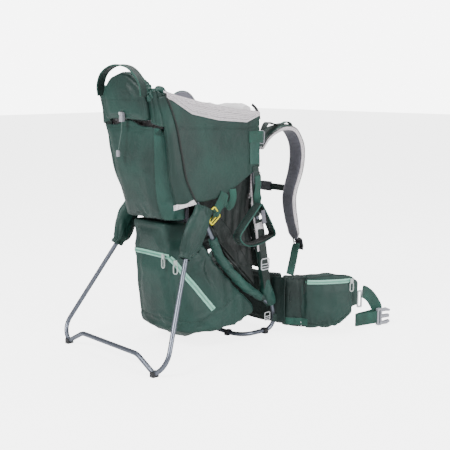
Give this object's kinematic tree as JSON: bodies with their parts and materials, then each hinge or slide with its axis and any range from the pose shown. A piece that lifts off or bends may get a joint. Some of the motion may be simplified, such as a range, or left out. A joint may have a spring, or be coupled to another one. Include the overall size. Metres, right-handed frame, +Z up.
{
  "type": "child carrier backpack",
  "caption": "Framed child carrier backpack with a folding kickstand, padded cockpit, zipped daypack, shoulder harness and wrap-around hip belt.",
  "frame": {"origin": "middle of the footprint on the ground, under the pack as it stands on its kickstand and front bow", "axes": "+X to the wearer's right, +Y the way the wearer faces, +Z up"},
  "size_m": [0.6084, 0.7951, 0.739],
  "materials": {
    "frame_tube": "satin",
    "steel_fitting": "satin",
    "dark_plastic": "matte",
    "grey_plastic": "satin",
    "red_plastic": "satin",
    "yellow_plastic": "satin",
    "pack_fabric": "matte",
    "webbing": "matte",
    "light_mesh": "matte",
    "grey_mesh": "matte",
    "zip": "matte",
    "zip_metal": "satin"
  },
  "bodies": {
    "frame": {"back_frame_tube": "frame_tube", "front_foot_bow": "frame_tube", "rear_frame_tube": "frame_tube", "bow_clips": "dark_plastic", "pivot_brackets": "dark_plastic", "pivot_pins": "steel_fitting", "headrest_pad": "pack_fabric", "side_panel_r": "pack_fabric", "side_panel_l": "pack_fabric", "rear_wall": "pack_fabric", "front_wall": "pack_fabric", "rear_pocket": "pack_fabric", "chin_pad": "light_mesh", "tube_covers": "pack_fabric", "seat_gussets": "pack_fabric", "daypack": "pack_fabric", "main_zip_tape": "zip", "back_pad": "grey_mesh", "lumbar_pad": "pack_fabric", "frame_locks": "grey_plastic", "pocket_cord": "webbing", "cord_end": "grey_plastic"},
    "kickstand": {"kickstand_tube": "frame_tube", "kickstand_foot_clips": "dark_plastic", "stand_sleeves": "pack_fabric"},
    "handle": {"grab_handle": "webbing"},
    "seat": {"seat_pad": "pack_fabric", "seat_back": "light_mesh", "child_harness": "webbing", "child_buckle": "dark_plastic"},
    "seat_button": {"child_buckle_button": "red_plastic"},
    "harness": {"harness_yoke": "pack_fabric", "shoulder_strap_r": "grey_mesh", "shoulder_strap_l": "grey_mesh", "harness_webbings": "webbing", "strap_locks": "dark_plastic"},
    "chest_socket": {"chest_strap_r": "webbing", "chest_buckle_socket": "grey_plastic"},
    "chest_plug": {"chest_strap_l": "webbing", "chest_buckle_plug": "grey_plastic"},
    "fin_r": {"hip_fin_r": "pack_fabric", "fin_zip_tape_r": "zip", "fin_ring_r": "steel_fitting"},
    "fin_l": {"hip_fin_l": "pack_fabric", "fin_zip_tape_l": "zip", "fin_ring_l": "steel_fitting"},
    "fin_slider_r": {"fin_zip_slider_r": "zip_metal"},
    "fin_slider_l": {"fin_zip_slider_l": "zip_metal"},
    "belt_r": {"hip_webbing_r": "webbing", "belt_buckle_plug": "grey_plastic"},
    "belt_l": {"hip_webbing_l": "webbing", "belt_buckle_socket": "grey_plastic"},
    "stirrup_r": {"stirrup_r": "pack_fabric"},
    "stirrup_l": {"stirrup_l": "pack_fabric"},
    "entry_r": {"entry_strap_r": "webbing"},
    "entry_l": {"entry_strap_l": "webbing"},
    "zip_back": {"main_zip_slider_back": "zip_metal"},
    "zip_side": {"main_zip_slider_side": "zip_metal"},
    "lock": {"cord_lock": "grey_plastic"},
    "lock_button": {"cord_lock_button": "grey_plastic"}
  },
  "joints": [
    {"name": "kickstand_fold", "type": "hinge", "parent": "frame", "child": "kickstand", "pos_m": [0, -0.188, 0.352], "axis": [1, 0, 0], "range_deg": [0, 40]},
    {"name": "handle_fold", "type": "hinge", "parent": "frame", "child": "handle", "pos_m": [0, -0.33, 0.666], "axis": [1, 0, 0], "range_deg": [0, 100]},
    {"name": "seat_height", "type": "slide", "parent": "frame", "child": "seat", "axis": [0, 0, 1], "range_m": [0, 0.05]},
    {"name": "seat_button_press", "type": "slide", "parent": "seat", "child": "seat_button", "axis": [0, -1, 0], "range_m": [0, 0.002], "stiffness_N_per_m": 300, "springref_m": -0.001},
    {"name": "harness_height", "type": "slide", "parent": "frame", "child": "harness", "axis": [0, 0, 1], "range_m": [0, 0.05]},
    {"name": "chest_strap_height", "type": "slide", "parent": "harness", "child": "chest_socket", "axis": [0, 0, 1], "range_m": [-0.02, 0.005]},
    {"name": "chest_buckle_release", "type": "slide", "parent": "chest_socket", "child": "chest_plug", "axis": [-1, 0, 0], "range_m": [0, 0.03]},
    {"name": "fin_wrap_r", "type": "hinge", "parent": "frame", "child": "fin_r", "pos_m": [0.144, 0.118, 0.095], "axis": [0, 0, 1], "range_deg": [-15, 50]},
    {"name": "fin_wrap_l", "type": "hinge", "parent": "frame", "child": "fin_l", "pos_m": [-0.144, 0.118, 0.095], "axis": [0, 0, -1], "range_deg": [-15, 50]},
    {"name": "fin_zip_r", "type": "slide", "parent": "fin_r", "child": "fin_slider_r", "axis": [-0.306, -0.952, 0], "range_m": [0, 0.02]},
    {"name": "fin_zip_l", "type": "slide", "parent": "fin_l", "child": "fin_slider_l", "axis": [0.306, -0.952, 0], "range_m": [0, 0.02]},
    {"name": "belt_swing_r", "type": "hinge", "parent": "fin_r", "child": "belt_r", "pos_m": [0.268, 0.303, 0.06], "axis": [0, 0, 1], "range_deg": [-30, 12]},
    {"name": "belt_swing_l", "type": "hinge", "parent": "fin_l", "child": "belt_l", "pos_m": [-0.268, 0.303, 0.06], "axis": [0, 0, -1], "range_deg": [-30, 12]},
    {"name": "stirrup_swing_r", "type": "hinge", "parent": "frame", "child": "stirrup_r", "pos_m": [0.1395, 0.01, 0.452], "axis": [0, -1, 0], "range_deg": [0, 60]},
    {"name": "stirrup_swing_l", "type": "hinge", "parent": "frame", "child": "stirrup_l", "pos_m": [-0.1395, 0.01, 0.452], "axis": [0, 1, 0], "range_deg": [0, 60]},
    {"name": "entry_strap_swing_r", "type": "hinge", "parent": "frame", "child": "entry_r", "pos_m": [0.1392, -0.11, 0.416], "axis": [0, -1, 0], "range_deg": [0, 60]},
    {"name": "entry_strap_swing_l", "type": "hinge", "parent": "frame", "child": "entry_l", "pos_m": [-0.1392, -0.11, 0.416], "axis": [0, 1, 0], "range_deg": [0, 60]},
    {"name": "main_zip_back", "type": "slide", "parent": "frame", "child": "zip_back", "axis": [-1, 0, 0], "range_m": [0, 0.12]},
    {"name": "main_zip_side", "type": "slide", "parent": "frame", "child": "zip_side", "axis": [0.2252, 0.5813, -0.7819], "range_m": [0, 0.15]},
    {"name": "cord_lock_slide", "type": "slide", "parent": "frame", "child": "lock", "axis": [0, 0, -1], "range_m": [0, 0.01]},
    {"name": "cord_lock_press", "type": "slide", "parent": "lock", "child": "lock_button", "axis": [0, 1, 0], "range_m": [0, 0.0018], "stiffness_N_per_m": 300, "springref_m": -0.001}
  ]
}
